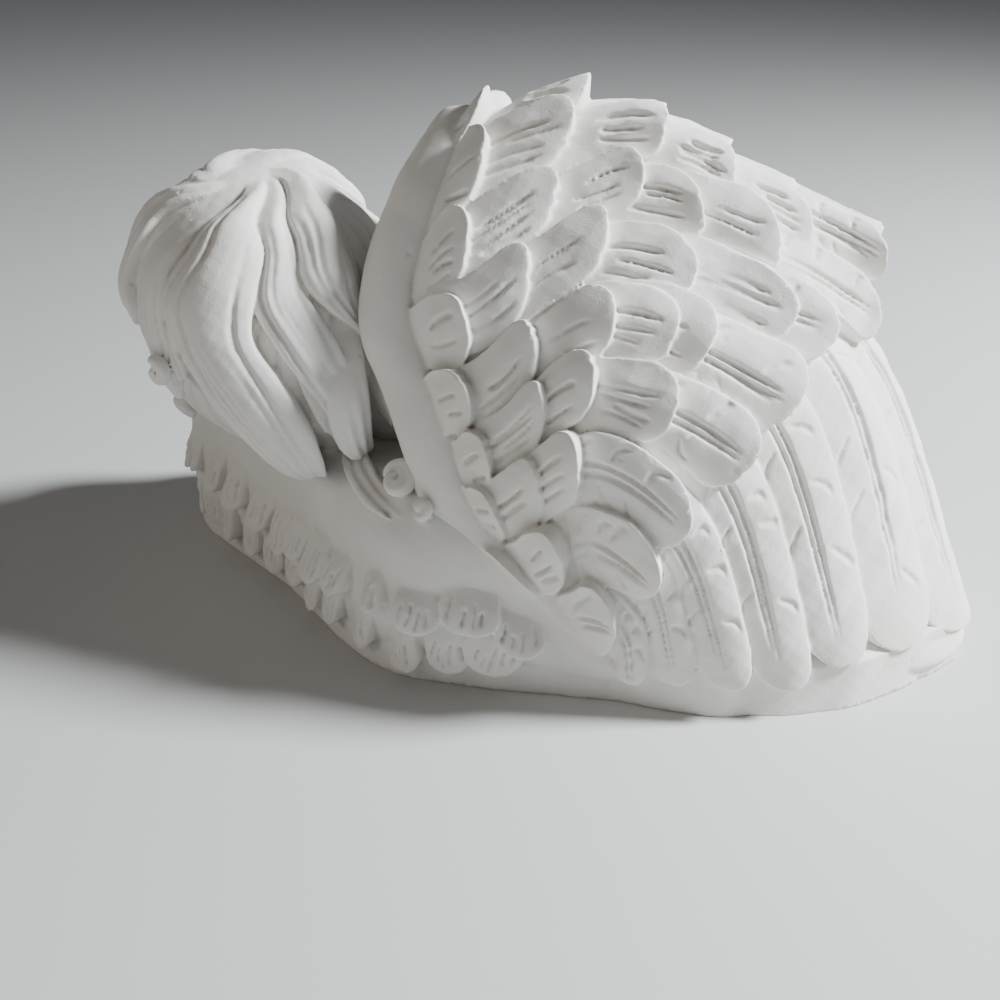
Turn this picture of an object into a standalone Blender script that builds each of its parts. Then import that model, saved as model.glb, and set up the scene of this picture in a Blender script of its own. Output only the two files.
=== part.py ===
"""Sleeping angel statue: one plaster casting of a curled-up cherub asleep under its own wing.

The head lies at -X, the wing tip at +X, and the face looks to +Y. Design sizes are in
millimetres for a statue designLength long, and the finished mesh is scaled to statueLength.
"""

import math
import random

import bmesh
import bpy
import numpy as np
from mathutils import Vector

# Driving sizes, in metres
statueLength = 0.28
plinthHeight = 0.009

# Design space, in millimetres
designLength = 280.0
voxelSize = 1.3
triangleGoal = 9400
footCut = 6.0

# Wing that lies over the body: guide curves at shares of the way back from its front edge, each
# from the far border, over the top, down to the near lower corner. A row is (share across, x, y, z).
frontGuides = {
    0.00: [(0.0, -28, 44, 112), (0.2, -28, 4, 154), (0.29, -38, -7, 146), (0.46, -52, -29, 107),
           (0.625, -40, -41, 80), (0.79, -25, -49, 53), (1.0, 14, -59, 22)],
    0.25: [(0.0, 0, 50, 108), (0.29, -15, -1, 158), (0.46, -21, -33, 123),
           (0.625, -12, -48, 89), (0.79, -5, -55, 56), (1.0, 21, -61, 20)],
    0.50: [(0.0, 30, 52, 104), (0.29, 22, 4, 159), (0.46, 21, -16, 140),
           (0.625, 21, -43, 109), (0.79, 21, -59, 75), (1.0, 27, -61, 18)],
}
# The coverts end at the upper right, and the long flight feathers under them sweep to the plinth
covertGuides = {
    0.75: [(0.0, 60, 48, 95), (0.29, 53, 8, 144), (0.46, 64, -18, 125), (0.54, 76, -26, 108),
           (0.625, 67, -42, 92), (0.79, 48, -60, 60), (1.0, 34, -60, 16)],
    1.00: [(0.0, 84, 40, 84), (0.29, 89, 4, 128), (0.46, 93, -8, 104), (0.54, 94, -18, 86),
           (0.625, 88, -42, 62), (0.79, 62, -56, 40), (1.0, 34, -60, 11)],
}
flightGuides = {
    0.75: [(0.42, 88, 4, 106), (0.49, 88, -8, 99), (0.57, 79, -27, 99),
           (0.65, 65, -43, 89), (0.805, 46, -60, 58), (1.0, 30, -60, 16)],
    1.00: [(0.42, 131, 6, 9), (0.495, 127, -8, 9), (0.57, 110, -30, 10), (0.65, 93, -44, 11),
           (0.805, 62, -56, 11), (0.96, 34, -59, 11), (1.0, 28, -60, 12)],
}
wingCore = (30.0, 6.0, 30.0)
covertReach = 0.93
bandWidth = 12.0
bandHeight = 8.0
bandSink = 3.5
chainPitch = 1 / 12
ridgeChain = 3.5
flightPitch = 0.0775
firstFlight = 0.495
flightCount = 7

# Rows of coverts on that wing. Chains are counted from 0 on the top ridge, and run to -3 on the
# far side and 8 at the near lower corner. Tips and lengths are shares of the way along a chain.
covertRows = [
    dict(first=-3, last=7, tipFirst=0.25, tipLast=0.25, length=0.14, lift=5.4),
    dict(first=-3, last=7, tipFirst=0.39, tipLast=0.42, length=0.2, lift=5.6),
    dict(first=-3, last=6, tipFirst=0.52, tipLast=0.55, length=0.2, lift=5.2),
    dict(first=-3, last=4, tipFirst=0.66, tipLast=0.61, length=0.2, lift=5.0),
    dict(first=-3, last=4, tipFirst=0.78, tipLast=0.70, length=0.2, lift=4.8),
    dict(first=3, last=8, tipFirst=0.84, tipLast=0.80, length=0.34, lift=4.8),
    dict(first=-3, last=2, tipFirst=1.0, tipLast=1.0, length=0.3, lift=3.6),
]
flightLength = 0.5
flightLift = 3.0

# Section of a feather: how deep it goes, how high its middle is, and how much lower its edges are
featherDepth = 7.0
covertCrown = 2.2
covertEdgeDrop = 0.75
flightCrown = 1.4
flightEdgeDrop = 0.5

# Outline of the wing that is spread under the head, seen from above, outside its fringe
cushionOutline = [(130, 4), (116, -26), (66, -50), (20, -57), (-30, -58), (-57, -44), (-86, -14),
                  (-114, 8), (-136, 27), (-141, 44), (-124, 64), (-78, 72), (-20, 72), (50, 66), (110, 42)]
# Its section from the middle to the lower edge: (distance in from the outline, height)
cushionSection = [(30, 59), (12, 56), (3, 46), (0.5, 31), (0, 18), (3, 4)]
cushionFade = (-15.0, 55.0)
cushionTail = 0.25
cushionSink = (15.0, 50.0)
cushionFar = 0.72
cushionHeadEnd = (-100.0, -130.0)
cushionHeadRise = 1.12
cushionMiddle = (-20.0, 0.0, 58.0)
cushionMiddleShare = 0.35
fringeStart = (8, -58)
fringeEnd = (12, 72)
fringeFeatherWidth = 14.0
# Rows of its fringe: (tip, length, lift), the first two as shares of the way down the section
fringeRows = ((0.81, 0.28, 4.6), (0.99, 0.3, 3.4))
fringeDepth = 6.0

# Plinth, and the ledge that the long feathers rest on
plinthMiddle = (-6.0, 6.0)
plinthInset = 0.985
ledgeHeight = 9.5
ledgeSlope = 40.0
ledgeProud = 1.0
ledgeTuck = 5.0
ledgeTuckFrom = 0.8

# Head: centre, skull radius, and the directions of the crown and of the face
headCentre = (-94.0, 4.0, 96.0)
skullRadius = 38.0
crownAim = (-0.34, 0.16, 0.93)
faceAim = (-0.12, 0.95, -0.2)
hairDepth = 6.0
napePlace = (-52.0, -34.0, 66.0)
napeWidth = 0.66
napeSink = 9.0
skirtDepth = 8.0

# Bumps on the face: (across, up, forward) from the middle of the head, width in radians, height
faceBumps = [((0, -0.62, 0.7), 0.35, 2.0), ((0, 0.3, 0.95), 0.3, 1.6), ((0, -0.2, 0.98), 0.13, 6.0),
             ((0, -0.08, 1.0), 0.1, 2.5), ((0, -0.47, 0.9), 0.14, 3.0), ((0, -0.49, 0.9), 0.04, -1.2),
             ((0, -0.8, 0.6), 0.2, 3.4)]
# Bumps that both sides of the face have: cheek, eye socket, eyelid and side of the nose
pairedBumps = [((0.52, -0.38, 0.78), 0.3, 4.2), ((0.42, 0.02, 0.92), 0.2, -2.8),
               ((0.36, -0.01, 0.92), 0.13, 2.6), ((0.16, -0.44, 0.9), 0.1, 1.2)]

# Where the cap of hair ends towards the face, and the height on the crown above which it always covers
hairLine = 0.15
crownLine = 0.62
capDrop = 0.1
skirtTop = 0.1
skirtFront = 0.4
# Section of a lock: how square it is, how fast it starts and ends, and its height at the ends
lockSquareness = 0.75
lockStart = 5.0
lockEnd = 1.6
lockEndHeight = 0.25

# Where the hair springs from, and its locks: half width, height, and the lock's line as
# (angle from that whorl in radians, turn round it from the face in degrees)
whorlAim = (-0.05, -0.14, 0.99)
backLocks = [
    (9.0, 5.5, [(0.3, 112), (0.9, 110), (1.4, 113), (1.9, 122)]),
    (9.0, 5.0, [(0.3, 148), (0.75, 145), (1.15, 139), (1.5, 146), (1.95, 152)]),
    (8.0, 5.5, [(0.3, 212), (0.8, 208), (1.2, 203), (1.6, 205), (2.0, 213), (2.35, 222)]),
    (7.5, 7.0, [(0.35, 233), (0.84, 230), (1.15, 223), (1.42, 228), (1.65, 238)]),
    (8.0, 6.5, [(0.3, 254), (0.85, 250), (1.15, 248), (1.5, 252), (1.85, 262)]),
    (6.0, 6.5, [(1.45, 184), (1.9, 190), (2.25, 203), (2.6, 220)]),
    (5.5, 6.0, [(1.55, 206), (2.0, 215), (2.35, 224), (2.6, 232)]),
    (5.5, 6.0, [(1.5, 226), (1.9, 234), (2.3, 238)]),
    (6.0, 5.5, [(1.4, 140), (1.8, 147), (2.1, 151), (2.4, 161)]),
    (6.0, 5.5, [(1.25, 126), (1.7, 131), (2.05, 140)]),
    (13.5, 8.5, [(0.38, 178), (0.8, 181), (1.2, 173), (1.6, 172), (1.97, 183)]),
]
# Rings of locks on the other sides: count, first and last angle, half width
lockRings = ((11, 0.15, 1.5, 10.0), (12, 0.9, 2.2, 9.5))
backTurns = (100.0, 262.0)
faceTurn = 60.0
fringeLockEnd = 1.1

# Limbs of the curled body: start, radius there, end, radius there
bodyLimbs = [
    ((-36, 14, 76), 30, (50, 16, 74), 38),
    ((-16, 10, 108), 31, (40, 8, 106), 33),
    ((-88, 2, 84), 22, (-36, 8, 70), 28),
    ((56, 30, 54), 26, (8, 52, 38), 18),
    ((9, 53, 36), 16, (78, 55, 24), 11),
    ((78, 56, 20), 10, (102, 48, 18), 8.5),
    ((-44, 22, 80), 20, (-14, 54, 50), 14),
    ((-14, 54, 49), 13.5, (-70, 50, 50), 9.5),
    ((-130, 30, 56), 12, (-102, 46, 50), 9.5),
]
# Hip and hand: centre and radii
bodyBalls = [((54, 18, 62), (32, 32, 34)), ((-82, 47, 51), (13, 8, 8.5))]
toeCount = 5
toeRadii = (4.4, 3.0, 3.2)
firstToe = (110.0, 43.0, 21.0)
toeStep = (-1.8, 3.4, -1.4)
fingerCount = 4
fingerRadii = (3.8, 3.2)
firstKnuckle = (-88.0, 49.0, 56.0)
firstFingertip = (-105.0, 46.0, 54.0)
fingerStep = (0.0, 2.0, -4.1)

plasterColour = (0.83, 0.815, 0.78, 1.0)
plasterRoughness = 0.82


def smoothCurve(knots, values, at):
    """Values at the given places on a smooth curve through the knots."""
    knots = np.asarray(knots, float)
    values = np.asarray(values, float)
    at = np.clip(at, knots[0], knots[-1])
    steps = np.diff(values, axis=0) / np.diff(knots)[:, None]
    tangents = np.vstack([steps[:1], (steps[:-1] + steps[1:]) / 2, steps[-1:]])
    left = np.clip(np.searchsorted(knots, at, side="right") - 1, 0, len(knots) - 2)
    gap = (knots[left + 1] - knots[left])[:, None]
    u = ((at - knots[left])[:, None]) / gap
    return (
        values[left] * (1 + 2 * u) * (1 - u) ** 2
        + tangents[left] * gap * u * (1 - u) ** 2
        + values[left + 1] * u * u * (3 - 2 * u)
        + tangents[left + 1] * gap * u * u * (u - 1)
    )


def unit(vectors):
    vectors = np.asarray(vectors, float)
    return vectors / np.maximum(np.linalg.norm(vectors, axis=-1, keepdims=True), 1e-9)


def guidedPoint(guides, across, along):
    """Points on a smooth sheet through guide curves, across and along."""
    stations = np.array(sorted(guides))
    curves = []
    for station in stations:
        rows = np.array(guides[station], float)
        curves.append(smoothCurve(rows[:, 0], rows[:, 1:], across))
    curves = np.array(curves)
    steps = np.diff(curves, axis=0) / np.diff(stations)[:, None, None]
    tangents = np.concatenate([steps[:1], (steps[:-1] + steps[1:]) / 2, steps[-1:]])
    left = np.clip(np.searchsorted(stations, along, side="right") - 1, 0, len(stations) - 2)
    each = np.arange(len(along))
    gap = (stations[left + 1] - stations[left])[:, None]
    u = ((along - stations[left])[:, None]) / gap
    return (
        curves[left, each] * (1 + 2 * u) * (1 - u) ** 2
        + tangents[left, each] * gap * u * (1 - u) ** 2
        + curves[left + 1, each] * u * u * (3 - 2 * u)
        + tangents[left + 1, each] * gap * u * u * (u - 1)
    )


def covertPoint(across, along):
    return guidedPoint(frontGuides | covertGuides, across, along)


def flightPoint(across, along):
    return guidedPoint(frontGuides | flightGuides, across, along)


def outlinePoint(turn):
    """Points on the closed outline of the lower wing, at shares of the way round."""
    count = len(cushionOutline)
    points = np.array(cushionOutline * 3, float)
    knots = np.arange(-count, 2 * count) / count
    return smoothCurve(knots, points, np.asarray(turn, float))


def cushionPoint(turn, along):
    """Points on the lower wing: round its outline, and along its section from middle to edge."""
    stations = np.linspace(0, 1, len(cushionSection))
    section = smoothCurve(stations, np.array(cushionSection, float), along)
    place = outlinePoint(turn)
    ahead = outlinePoint(turn + 0.002) - outlinePoint(turn - 0.002)
    inward = unit(np.stack([-ahead[:, 1], ahead[:, 0]], axis=1))
    spot = np.array([0.0, 6.0])
    inward = inward * np.sign(np.sum(inward * (spot - place), axis=1))[:, None]
    flat = place + inward * section[:, :1]
    fade = np.clip((flat[:, 0] - cushionFade[0]) / (cushionFade[1] - cushionFade[0]), 0, 1)
    sink = np.clip((flat[:, 1] - cushionSink[0]) / (cushionSink[1] - cushionSink[0]), 0, 1)
    fade = 1 - (1 - cushionTail) * fade * fade * (3 - 2 * fade)
    head = np.clip((flat[:, 0] - cushionHeadEnd[0]) / (cushionHeadEnd[1] - cushionHeadEnd[0]), 0, 1)
    head = head * head * (3 - 2 * head)
    fade = fade * (1 - (1 - cushionFar) * sink * sink * (3 - 2 * sink) * (1 - head))
    fade = fade * (1 + (cushionHeadRise - 1) * head)
    return np.column_stack([flat, section[:, 1] * fade])


def surfaceNormal(surface, across, along):
    step = 0.004
    a = surface(across + step, along) - surface(across - step, along)
    b = surface(across, along + step) - surface(across, along - step)
    return unit(np.cross(a, b))


def template(kind, *counts):
    """A unit slab or a unit ball to be shaped: the slab runs -1 to 1 across and along, 0 to 1 up."""
    bm = bmesh.new()
    if kind == "slab":
        bmesh.ops.create_grid(bm, x_segments=counts[0], y_segments=counts[1], size=1.0)
        made = bmesh.ops.extrude_face_region(bm, geom=bm.faces[:], use_keep_orig=True)
        for item in made["geom"]:
            if isinstance(item, bmesh.types.BMVert):
                item.co.z = 1.0
    else:
        bmesh.ops.create_uvsphere(bm, u_segments=counts[0], v_segments=counts[1], radius=1.0)
    bmesh.ops.recalc_face_normals(bm, faces=bm.faces[:])
    mesh = bpy.data.meshes.new(kind)
    bm.to_mesh(mesh)
    bm.free()
    return mesh


class Clay:
    """Gathers closed, overlapping solids that are later fused into one."""

    def __init__(self):
        self.bm = bmesh.new()
        self.kinds = {}

    def add(self, kind, counts, shape):
        key = (kind, counts)
        if key not in self.kinds:
            mesh = template(kind, *counts)
            coords = np.empty(len(mesh.vertices) * 3)
            mesh.vertices.foreach_get("co", coords)
            self.kinds[key] = (mesh, coords)
        mesh, coords = self.kinds[key]
        shaped = shape(coords.reshape(-1, 3).copy())
        mesh.vertices.foreach_set("co", np.ascontiguousarray(shaped).ravel())
        self.bm.from_mesh(mesh)

    def ball(self, centre, radii):
        self.add("ball", (24, 16), lambda p: p * np.array(radii) + np.array(centre))

    def limb(self, start, startRadius, end, endRadius):
        """A tapered limb with round ends."""
        start, end = np.array(start, float), np.array(end, float)
        turn = np.array(Vector((0, 0, 1)).rotation_difference(Vector(end - start)).to_matrix())

        def shape(p):
            isEnd = p[:, 2:] > 0
            return (p * np.where(isEnd, endRadius, startRadius)) @ turn.T + np.where(isEnd, end, start)

        self.add("ball", (20, 14), shape)

    def feather(self, surface, middle, halfWidth, tip, length, lift, skew=0.0, depth=featherDepth,
                crown=covertCrown, edgeDrop=covertEdgeDrop):
        """A feather that lies on a surface, thin at its root and lifted at its round tip."""
        across = np.array([middle, middle, middle - halfWidth, middle + halfWidth])
        along = np.array([tip - length, tip, tip - length * 0.3, tip - length * 0.3])
        root, end, left, right = surface(across, along)
        tipRound = min(0.6, np.linalg.norm(right - left) / 2 / np.linalg.norm(end - root))

        def shape(p):
            side = p[:, 0] * 0.985
            down = (p[:, 1] + 1) / 2
            reach = length * (1 - tipRound * (1 - np.sqrt(1 - side * side)))
            along = tip - length + down * reach
            narrow = 0.86 + 0.14 * np.sin(np.clip(down, 0, 1) * math.pi / 2)
            across = middle + halfWidth * side * narrow + skew * (down - 0.5)
            place = surface(across, along)
            normal = surfaceNormal(surface, across, along)
            rise = lift * (0.08 + 0.92 * down ** 1.5)
            height = rise * (1 - edgeDrop * np.abs(side) ** 3) + crown * (1 - side * side)
            return place + normal * np.where(p[:, 2] > 0.5, height, -depth)[:, None]

        self.add("slab", (8, 10), shape)


def addUpperWing(clay, draw):
    def sheet(surface, firstAcross, firstAlong, lastAlong):
        def shape(p):
            across = firstAcross + (1 - firstAcross) * (p[:, 0] + 1) / 2
            along = firstAlong + (lastAlong - firstAlong) * (p[:, 1] + 1) / 2
            place = surface(across, along)
            core = np.array(wingCore)
            return np.where(p[:, 2:] > 0.5, place, place * 0.3 + core * 0.7)

        clay.add("slab", (60, 50), shape)

    sheet(covertPoint, 0.0, 0.0, covertReach)
    sheet(flightPoint, 0.45, 0.4, 0.985)

    def band(p):
        height = p[:, 2]
        share = np.arccos(np.clip(-height, -1, 1)) / math.pi
        along = np.full(len(p), 0.06)
        centre = covertPoint(share, along)
        ahead = unit(covertPoint(share + 0.01, along) - covertPoint(share - 0.01, along))
        normal = surfaceNormal(covertPoint, share, along)
        wide = unit(np.cross(ahead, normal))
        ring = np.sqrt(np.maximum(1 - height * height, 1e-9))
        circle = p[:, :2] / ring[:, None]
        swell = (np.clip(ring * 2.4, 0, 1) ** 0.5 * (1 - 0.3 * share))[:, None]
        reach = wide * circle[:, :1] * bandWidth + normal * circle[:, 1:] * bandHeight
        return centre - normal * bandSink + reach * swell

    clay.add("ball", (20, 60), band)

    for row in covertRows:
        for chain in range(row["first"], row["last"] + 1):
            share = (chain - row["first"]) / (row["last"] - row["first"])
            middle = (chain + ridgeChain + draw.uniform(-0.1, 0.1)) * chainPitch
            tip = row["tipFirst"] + (row["tipLast"] - row["tipFirst"]) * share + draw.uniform(-0.015, 0.015)
            clay.feather(covertPoint, middle, chainPitch * 0.53, tip, row["length"],
                         row["lift"] * draw.uniform(0.85, 1.15), skew=draw.uniform(-0.2, 0.1) * chainPitch)
    for index in range(flightCount):
        middle = firstFlight + flightPitch * index
        clay.feather(flightPoint, middle, flightPitch * 0.54, 1.0 + draw.uniform(-0.02, 0.01),
                     flightLength, flightLift * draw.uniform(0.8, 1.2),
                     crown=flightCrown, edgeDrop=flightEdgeDrop)


def addCushion(clay, draw):
    def dome(p):
        turn = np.arctan2(p[:, 1], p[:, 0]) / (2 * math.pi)
        ring = np.sqrt(np.maximum(p[:, 0] ** 2 + p[:, 1] ** 2, 1e-12))
        top = cushionPoint(turn, np.clip((ring - cushionMiddleShare) / (1 - cushionMiddleShare), 0, 1))
        share = np.clip(ring / cushionMiddleShare, 0, 1)[:, None]
        upper = np.array(cushionMiddle) * (1 - share) + top * share
        lower = np.column_stack([upper[:, :2], np.full(len(p), -footCut)])
        return np.where(p[:, 2:] >= -1e-6, upper, lower)

    clay.add("ball", (120, 40), dome)

    turns = np.linspace(0, 1, 720, endpoint=False)
    line = outlinePoint(turns)
    gaps = np.linalg.norm(np.roll(line, -1, axis=0) - line, axis=1)
    reach = np.concatenate([[0], np.cumsum(gaps)])

    def nearest(place):
        return int(np.argmin(np.linalg.norm(line - np.array(place), axis=1)))

    first, last = nearest(fringeStart), nearest(fringeEnd)
    total = reach[last] - reach[first]
    count = round(total / fringeFeatherWidth)
    for row, (tip, length, lift) in enumerate(fringeRows):
        for index in range(count):
            place = reach[first] + total * (index + 0.5 + 0.4 * row + draw.uniform(-0.12, 0.12)) / count
            turn = float(np.interp(place, reach, np.append(turns, 1.0)))
            width = fringeFeatherWidth * draw.uniform(0.5, 0.62) / reach[-1]
            clay.feather(cushionPoint, turn, width, tip + draw.uniform(-0.04, 0.03), length,
                         lift * draw.uniform(0.8, 1.2), depth=fringeDepth)


def addPlinth(clay):
    top = plinthHeight * designLength / statueLength

    def shape(p):
        turn = np.arctan2(p[:, 1], p[:, 0]) / (2 * math.pi)
        ring = np.sqrt(p[:, 0] ** 2 + p[:, 1] ** 2)
        middle = np.array(plinthMiddle)
        flat = middle + (outlinePoint(turn) - middle) * (ring ** 0.2)[:, None] * plinthInset
        height = np.where(p[:, 2] > 0, top, -footCut)
        return np.column_stack([flat, height])

    clay.add("ball", (120, 16), shape)

    def ledge(p):
        across = firstFlight + (1 - firstFlight) * (p[:, 0] + 1) / 2
        rim = flightPoint(across, np.full(len(p), 1.0))[:, :2]
        middle = np.array(wingCore[:2])
        out = (p[:, 1:2] + 1) / 2
        tuck = np.clip((across - ledgeTuckFrom) / (1 - ledgeTuckFrom), 0, 1)[:, None] * ledgeTuck
        flat = middle + (rim - middle) * out + unit(rim - middle) * (ledgeProud - tuck) * out
        height = ledgeHeight + ledgeSlope * (1 - out[:, 0])
        return np.column_stack([flat, np.where(p[:, 2] > 0.5, height, -footCut)])

    clay.add("slab", (40, 10), ledge)


def addHead(clay, draw):
    centre = np.array(headCentre)
    crown = unit(crownAim)
    face = unit(np.array(faceAim) - crown * np.dot(faceAim, crown))
    side = np.cross(crown, face)

    def bump(directions, aim, width, height):
        aim = unit(side * aim[0] + crown * aim[1] + face * aim[2])
        return height * np.exp(-((1 - directions @ aim) * 2) / width ** 2)

    def skull(p):
        directions = unit(p)
        radius = np.full(len(p), skullRadius)
        for aim, width, height in faceBumps:
            radius += bump(directions, aim, width, height)
        for (across, up, forward), width, height in pairedBumps:
            for hand in (-1, 1):
                radius += bump(directions, (hand * across, up, forward), width, height)
        return centre + directions * radius[:, None]

    clay.add("ball", (96, 64), skull)
    addHair(clay, draw, centre, crown, face)


def addHair(clay, draw, centre, crown, face):
    nape = np.array(napePlace) - centre
    napeSwell = np.linalg.norm(nape) - skullRadius - napeSink
    nape = unit(nape)
    whorl = unit(whorlAim)
    ahead = unit(np.array(faceAim) - whorl * np.dot(faceAim, whorl))
    leftward = np.cross(whorl, ahead)

    def hairRadius(aim):
        swell = np.exp(-((1 - aim @ nape) * 2) / napeWidth ** 2)
        skirt = np.clip(-(aim @ crown) - skirtTop, 0, 1) * np.clip(skirtFront - aim @ face, 0, 1)
        return skullRadius + hairDepth * 0.5 + skirtDepth * skirt + napeSwell * swell

    def cap(p):
        aim = unit(p)
        fade = np.clip((hairLine - aim @ face) * 4 + np.clip(aim @ crown - crownLine, 0, 1) * 6, -1, 1)
        return centre + aim * (hairRadius(aim) * (1 - capDrop + capDrop * fade))[:, None]

    clay.add("ball", (64, 48), cap)

    def lock(halfWidth, rise, line):
        knots = np.linspace(0, 1, len(line))
        line = np.array([(polar, math.radians(turn)) for polar, turn in line])

        def spot(share):
            polar, turn = smoothCurve(knots, line, share).T
            flat = ahead * np.cos(turn)[:, None] + leftward * np.sin(turn)[:, None]
            aim = whorl * np.cos(polar)[:, None] + flat * np.sin(polar)[:, None]
            return centre + aim * (hairRadius(aim) - 1)[:, None], aim

        def shape(p):
            height = p[:, 2]
            share = np.arccos(np.clip(-height, -1, 1)) / math.pi
            here, out = spot(share)
            run = unit(spot(share + 0.01)[0] - spot(share - 0.01)[0])
            wide = unit(np.cross(run, out))
            ring = np.sqrt(np.maximum(1 - height * height, 1e-9))
            circle = p[:, :2] / ring[:, None]
            circle = np.sign(circle) * np.abs(circle) ** lockSquareness
            taper = np.clip(share * lockStart, 0, 1) ** 0.5 * np.clip((1 - share) * lockEnd, 0, 1) ** 0.7
            aside = circle[:, 0] * halfWidth * taper
            up = circle[:, 1] * rise * (lockEndHeight + (1 - lockEndHeight) * taper)
            return here + wide * aside[:, None] + out * up[:, None]

        clay.add("ball", (16, 28), shape)

    for count, start, finish, halfWidth in lockRings:
        for index in range(count):
            turn = 360 * (index + draw.uniform(-0.25, 0.25)) / count
            toFace = abs(math.remainder(turn, 360))
            hidesBack = backTurns[0] < turn < backTurns[1]
            if hidesBack or (start > 0.5 and toFace < faceTurn):
                continue
            end = min(finish * draw.uniform(0.93, 1.06), fringeLockEnd if toFace < faceTurn else finish * 2)
            wave, phase, drift = draw.uniform(6, 12), draw.uniform(0, 6.28), draw.uniform(-6, 14)
            line = []
            for share in np.linspace(0, 1, 6):
                sway = wave * math.sin(phase + share * 5) + drift * share
                line.append((start + (end - start) * share, turn + sway))
            lock(halfWidth * draw.uniform(0.8, 1.1), hairDepth * draw.uniform(0.85, 1.15), line)
    for halfWidth, rise, line in backLocks:
        lock(halfWidth, rise, line)


def addBody(clay):
    """The curled body, seen from the far side: back, hips, folded leg, and both arms."""
    for limb in bodyLimbs:
        clay.limb(*limb)
    for centre, radii in bodyBalls:
        clay.ball(centre, radii)
    for toe in range(toeCount):
        clay.ball(np.array(firstToe) + np.array(toeStep) * toe, toeRadii)
    for finger in range(fingerCount):
        step = np.array(fingerStep) * finger
        knuckle = np.array(firstKnuckle) + step
        clay.limb(knuckle, fingerRadii[0], np.array(firstFingertip) + step, fingerRadii[1])


def fuse(clay):
    """One closed solid from all that was gathered, with a flat underside."""
    mesh = bpy.data.meshes.new("sleeping_angel")
    clay.bm.to_mesh(mesh)
    statue = bpy.data.objects.new("sleeping_angel", mesh)
    bpy.context.scene.collection.objects.link(statue)

    def bake():
        graph = bpy.context.evaluated_depsgraph_get()
        graph.update()
        made = bpy.data.meshes.new_from_object(statue.evaluated_get(graph))
        statue.modifiers.clear()
        statue.data = made

    remesh = statue.modifiers.new("skin", "REMESH")
    remesh.mode = "VOXEL"
    remesh.voxel_size = voxelSize
    bake()

    bm = bmesh.new()
    bm.from_mesh(statue.data)
    keepLargestIsland(bm)
    bmesh.ops.smooth_vert(bm, verts=bm.verts[:], factor=0.3,
                           use_axis_x=True, use_axis_y=True, use_axis_z=True)
    bm.to_mesh(statue.data)
    faces = sum(len(face.vertices) - 2 for face in statue.data.polygons)
    bm.free()

    thin = statue.modifiers.new("thin", "DECIMATE")
    thin.ratio = triangleGoal / faces
    bake()

    bm = bmesh.new()
    bm.from_mesh(statue.data)
    cut = bmesh.ops.bisect_plane(
        bm, geom=bm.verts[:] + bm.edges[:] + bm.faces[:], dist=1e-4, plane_co=(0, 0, 0),
        plane_no=(0, 0, 1), clear_inner=True,
    )
    rim = [item for item in cut["geom_cut"] if isinstance(item, bmesh.types.BMEdge)]
    bmesh.ops.contextual_create(bm, geom=rim)
    bmesh.ops.triangulate(bm, faces=bm.faces[:])
    keepLargestIsland(bm)
    bmesh.ops.recalc_face_normals(bm, faces=bm.faces[:])
    lows = np.array([vert.co for vert in bm.verts])
    middle = (lows.min(axis=0) + lows.max(axis=0)) / 2
    bmesh.ops.translate(bm, verts=bm.verts[:], vec=(-middle[0], -middle[1], 0))
    scale = statueLength / designLength
    bmesh.ops.scale(bm, verts=bm.verts[:], vec=(scale, scale, scale))
    bm.to_mesh(statue.data)
    bm.free()
    print("design box", lows.min(axis=0).round(1), lows.max(axis=0).round(1), "middle", middle.round(2))
    return statue


def keepLargestIsland(bm):
    """Deletes every loose part but the largest, which also fills hidden hollows."""
    left = set(bm.verts)
    islands = []
    while left:
        start = left.pop()
        island = {start}
        edge = [start]
        while edge:
            vert = edge.pop()
            for link in vert.link_edges:
                other = link.other_vert(vert)
                if other in left:
                    left.discard(other)
                    island.add(other)
                    edge.append(other)
        islands.append(island)
    islands.sort(key=len)
    spare = [vert for island in islands[:-1] for vert in island]
    bmesh.ops.delete(bm, geom=spare, context="VERTS")


def plaster():
    material = bpy.data.materials.new("white_plaster")
    material.use_nodes = True
    shader = material.node_tree.nodes["Principled BSDF"]
    shader.inputs["Base Color"].default_value = plasterColour
    shader.inputs["Roughness"].default_value = plasterRoughness
    shader.inputs["Metallic"].default_value = 0.0
    material.diffuse_color = plasterColour
    return material


def main():
    for item in list(bpy.data.objects):
        bpy.data.objects.remove(item, do_unlink=True)
    draw = random.Random(7)
    clay = Clay()
    addPlinth(clay)
    addCushion(clay, draw)
    addBody(clay)
    addHead(clay, draw)
    addUpperWing(clay, draw)
    statue = fuse(clay)
    statue.data.materials.clear()
    statue.data.materials.append(plaster())


main()
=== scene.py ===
import math
import random

import bmesh
import bpy
import numpy as np
from mathutils import Matrix, Vector


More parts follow.
